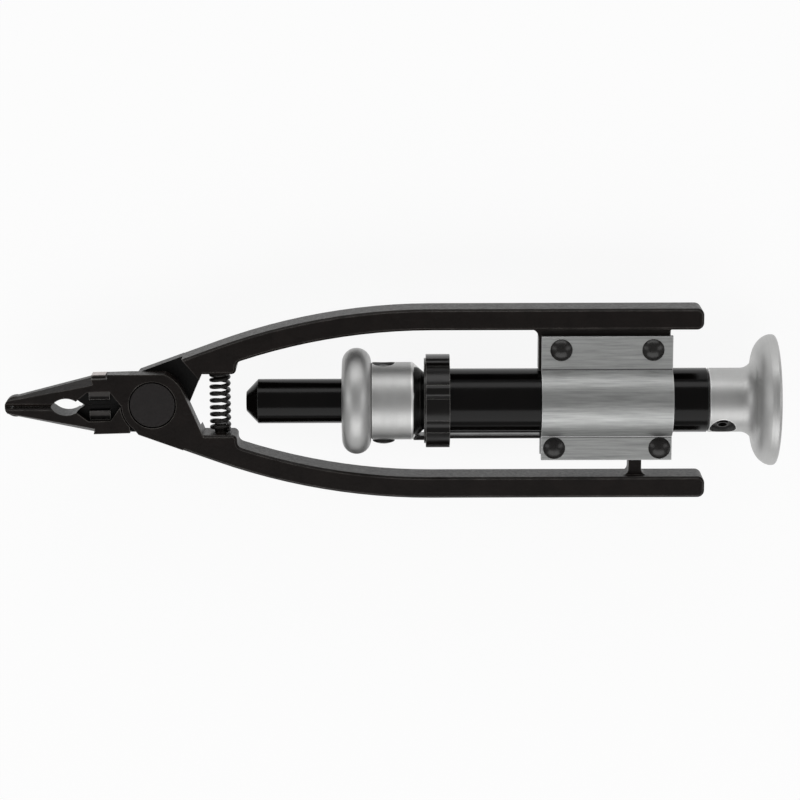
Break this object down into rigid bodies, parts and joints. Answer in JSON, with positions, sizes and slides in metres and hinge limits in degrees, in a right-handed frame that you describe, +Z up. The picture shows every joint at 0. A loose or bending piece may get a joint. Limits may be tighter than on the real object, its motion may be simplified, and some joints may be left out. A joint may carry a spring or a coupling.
{
  "type": "safety wire pliers",
  "caption": "Long-nosed locking pliers with side cutters and a pull-knob twister between the handles that spins the closed jaws to twist safety wire.",
  "frame": {"origin": "on the axis of the twister, at the centre of the object's box", "axes": "+X along the twister from the jaws to the pull knob, +Y from the lower handle to the upper one, +Z up from the face that lies on the bench"},
  "size_m": [0.2234, 0.0558, 0.038],
  "materials": {
    "black_steel": "forged steel, black oxide, satin",
    "cutter_steel": "hardened steel block, blackened and ground",
    "pivot_steel": "turned steel, black oxide",
    "spring_steel": "blackened spring wire",
    "bracket_aluminium": "pressed sheet, brushed along the tube",
    "rivet_steel": "domed steel rivet, dark burnished",
    "black_anodised": "turned tube, glossy black anodised",
    "bush_brass": "turned bush",
    "satin_aluminium": "turned and bead blasted, clear anodised",
    "nut_steel": "hardened and ground",
    "button_black": "black oxide",
    "rod_steel": "ground, with milled spiral grooves",
    "ring_black": "semi-gloss black"
  },
  "bodies": {
    "frame": {"back_lever": "black_steel", "lower_cutter": "cutter_steel", "bracket_front": "bracket_aluminium", "bracket_rear": "bracket_aluminium", "bracket_rivets": "rivet_steel", "flange_spacers": "rivet_steel", "spindle_tube": "black_anodised", "tube_end_bush": "bush_brass", "selector_housing": "satin_aluminium", "finger_flange": "satin_aluminium", "front_guard_tube": "black_anodised", "right_hand_nut": "nut_steel", "nut_washer": "nut_steel", "return_spring": "spring_steel", "handle_spring": "spring_steel"},
    "front_lever": {"front_lever": "black_steel", "upper_cutter": "cutter_steel", "pivot_pin": "pivot_steel", "pivot_collar": "pivot_steel"},
    "handle_lock": {"lock_ring": "ring_black", "latch_bar": "ring_black", "latch_bolt": "ring_black"},
    "selector": {"selector_yoke": "nut_steel", "selector_button_upper": "button_black", "selector_button_lower": "button_black"},
    "left_nut": {"left_hand_nut": "nut_steel"},
    "return_follower": {"thrust_bush": "bush_brass"},
    "spindle": {"spiral_rod": "rod_steel", "rod_collar": "rod_steel", "pull_knob": "satin_aluminium", "knob_screw": "button_black"}
  },
  "joints": [
    {"name": "jaw_pivot", "type": "hinge", "parent": "frame", "child": "front_lever", "pos_m": [-0.0685, 0, 0], "axis": [0, 0, -1], "range_deg": [0, 12], "deforming": ["handle_spring"]},
    {"name": "lock_slide", "type": "slide", "parent": "frame", "child": "handle_lock", "axis": [1, 0, 0], "range_m": [0, 0.0032]},
    {"name": "selector_slide", "type": "slide", "parent": "frame", "child": "selector", "axis": [0, 1, 0], "range_m": [0, 0.002]},
    {"name": "knob_pull", "type": "slide", "parent": "frame", "child": "return_follower", "axis": [1, 0, 0], "range_m": [0, 0.032], "stiffness_N_per_m": 300, "springref_m": -0.01, "deforming": ["return_spring"]},
    {"name": "spindle_spin", "type": "hinge", "parent": "return_follower", "child": "spindle", "pos_m": [0.1, 0, 0], "axis": [1, 0, 0], "range_deg": [0, 901]},
    {"name": "left_nut_spin", "type": "hinge", "parent": "frame", "child": "left_nut", "pos_m": [0, 0, 0], "axis": [1, 0, 0], "range_deg": [0, 1801]}
  ],
  "couplings": [
    {"joint": "spindle_spin", "follows": "knob_pull", "rad_per_m": 490.87},
    {"joint": "left_nut_spin", "follows": "knob_pull", "rad_per_m": 981.75}
  ]
}
